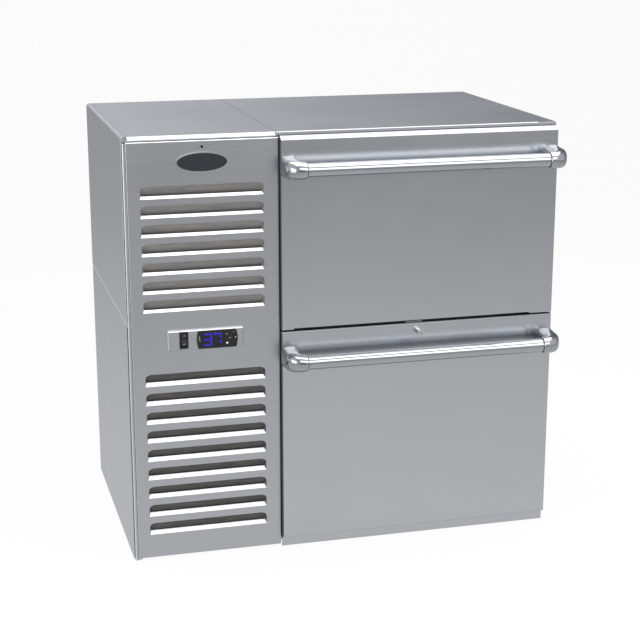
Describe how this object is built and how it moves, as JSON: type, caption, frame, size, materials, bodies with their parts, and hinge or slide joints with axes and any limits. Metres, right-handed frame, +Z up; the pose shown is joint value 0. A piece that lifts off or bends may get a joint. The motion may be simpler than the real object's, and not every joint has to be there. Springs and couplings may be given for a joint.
{
  "type": "undercounter drawer refrigerator",
  "caption": "Low stainless cabinet with a louvred machine compartment on the left and stacked refrigerated drawers with bar handles on the right.",
  "frame": {"origin": "centre of the bounding box, at floor level", "axes": "+Z up, +X to the right as seen from the front, -Y out of the front with the handles"},
  "size_m": [0.9186, 0.6514, 0.889],
  "materials": {
    "stainless_panel": "fine brushed",
    "stainless_dark": "fine brushed, front panel of the machine compartment",
    "handle_tube_steel": "polished along the tube",
    "handle_cast": "cast and polished",
    "galvanised": "galvanised sheet",
    "foam": "rigid foam",
    "liner": "plain sheet",
    "frame_plastic": "matt",
    "gasket": "soft",
    "badge": "gloss, bare",
    "black_plastic": "satin",
    "button_plastic": "satin",
    "display": "clear window over a blue display",
    "zinc": "zinc plated",
    "lock_nickel": "nickel plated",
    "compressor_black": "black enamel",
    "coil_aluminium": "plain fins",
    "copper": "drawn copper",
    "fan_plastic": "moulded",
    "motor_steel": "black",
    "pan_plastic": "moulded"
  },
  "bodies": {
    "cabinet": {"base_frame": "galvanised", "side_panel_left_upper": "stainless_panel", "side_panel_left_lower": "stainless_panel", "side_panel_right": "stainless_panel", "top_panel_left": "stainless_panel", "top_panel_right": "stainless_panel", "back_panel": "galvanised", "cord_gland": "black_plastic", "insulated_body": "foam", "inner_liner": "liner", "face_frame": "stainless_panel", "mullion": "frame_plastic", "kick_plate": "stainless_panel", "corner_post": "stainless_panel", "grille_panel": "stainless_dark", "grille_screw": "zinc", "badge_plate": "badge", "control_plate": "stainless_panel", "switch_housing": "black_plastic", "controller_housing": "black_plastic", "display_lens": "display", "slides_fixed": "zinc", "lock_keeper": "zinc", "unit_base": "galvanised", "condenser_coil": "coil_aluminium", "condenser_shroud": "motor_steel", "condenser_fan_motor": "motor_steel", "compressor": "compressor_black", "refrigerant_lines": "copper", "electrical_box": "galvanised", "condensate_pan": "pan_plastic", "evaporator_unit": "coil_aluminium", "evaporator_fan_motor": "motor_steel"},
    "upper_drawer": {"upper_front_skin": "stainless_panel", "upper_front_core": "foam", "upper_gasket": "gasket", "upper_handle_tube": "handle_tube_steel", "upper_handle_ends": "handle_cast", "upper_drawer_tray": "liner", "upper_slide_inner": "zinc"},
    "lower_drawer": {"lower_front_skin": "stainless_panel", "lower_front_core": "foam", "lower_gasket": "gasket", "lower_handle_tube": "handle_tube_steel", "lower_handle_ends": "handle_cast", "lower_drawer_tray": "liner", "lower_slide_inner": "zinc", "lock_cylinder": "lock_nickel"},
    "upper_middle_slide": {"upper_slide_middle": "zinc"},
    "lower_middle_slide": {"lower_slide_middle": "zinc"},
    "power_rocker": {"switch_rocker": "button_plastic"},
    "button_up": {"button_up": "button_plastic"},
    "button_down": {"button_down": "button_plastic"},
    "button_set": {"button_set": "button_plastic"},
    "button_light": {"button_light": "button_plastic"},
    "lock_plug": {"lock_plug": "lock_nickel"},
    "lock_bolt": {"lock_bolt": "zinc"},
    "condenser_fan": {"condenser_fan": "fan_plastic"},
    "evaporator_fan": {"evaporator_fan": "fan_plastic"}
  },
  "joints": [
    {"name": "upper_drawer_slide", "type": "slide", "parent": "cabinet", "child": "upper_drawer", "axis": [0, -1, 0], "range_m": [0, 0.42]},
    {"name": "upper_middle_slide", "type": "slide", "parent": "cabinet", "child": "upper_middle_slide", "axis": [0, -1, 0], "range_m": [0, 0.21]},
    {"name": "lower_drawer_slide", "type": "slide", "parent": "cabinet", "child": "lower_drawer", "axis": [0, -1, 0], "range_m": [0, 0.42]},
    {"name": "lower_middle_slide", "type": "slide", "parent": "cabinet", "child": "lower_middle_slide", "axis": [0, -1, 0], "range_m": [0, 0.21]},
    {"name": "power_switch", "type": "hinge", "parent": "cabinet", "child": "power_rocker", "pos_m": [-0.3453, -0.24825, 0.4738], "axis": [1, 0, 0], "range_deg": [0, 18]},
    {"name": "press_up", "type": "slide", "parent": "cabinet", "child": "button_up", "axis": [0, 1, 0], "range_m": [0, 0.0008], "stiffness_N_per_m": 300},
    {"name": "press_down", "type": "slide", "parent": "cabinet", "child": "button_down", "axis": [0, 1, 0], "range_m": [0, 0.0008], "stiffness_N_per_m": 300},
    {"name": "press_set", "type": "slide", "parent": "cabinet", "child": "button_set", "axis": [0, 1, 0], "range_m": [0, 0.0008], "stiffness_N_per_m": 300},
    {"name": "press_light", "type": "slide", "parent": "cabinet", "child": "button_light", "axis": [0, 1, 0], "range_m": [0, 0.0008], "stiffness_N_per_m": 300},
    {"name": "lock_turn", "type": "hinge", "parent": "lower_drawer", "child": "lock_plug", "pos_m": [0.1547, -0.26225, 0.4585], "axis": [0, 1, 0], "range_deg": [0, 90]},
    {"name": "lock_bolt_slide", "type": "slide", "parent": "lower_drawer", "child": "lock_bolt", "axis": [0, 0, 1], "range_m": [0, 0.006]},
    {"name": "condenser_fan_spin", "type": "hinge", "parent": "cabinet", "child": "condenser_fan", "pos_m": [-0.3003, -0.13725, 0.189], "axis": [0, 1, 0], "continuous": true},
    {"name": "evaporator_fan_spin", "type": "hinge", "parent": "cabinet", "child": "evaporator_fan", "pos_m": [0.1557, -0.02725, 0.7916], "axis": [0, 0, 1], "continuous": true}
  ],
  "couplings": [
    {"joint": "upper_middle_slide", "follows": "upper_drawer_slide", "ratio": 0.5},
    {"joint": "lower_middle_slide", "follows": "lower_drawer_slide", "ratio": 0.5},
    {"joint": "lock_bolt_slide", "follows": "lock_turn", "m_per_rad": 0.003819}
  ]
}
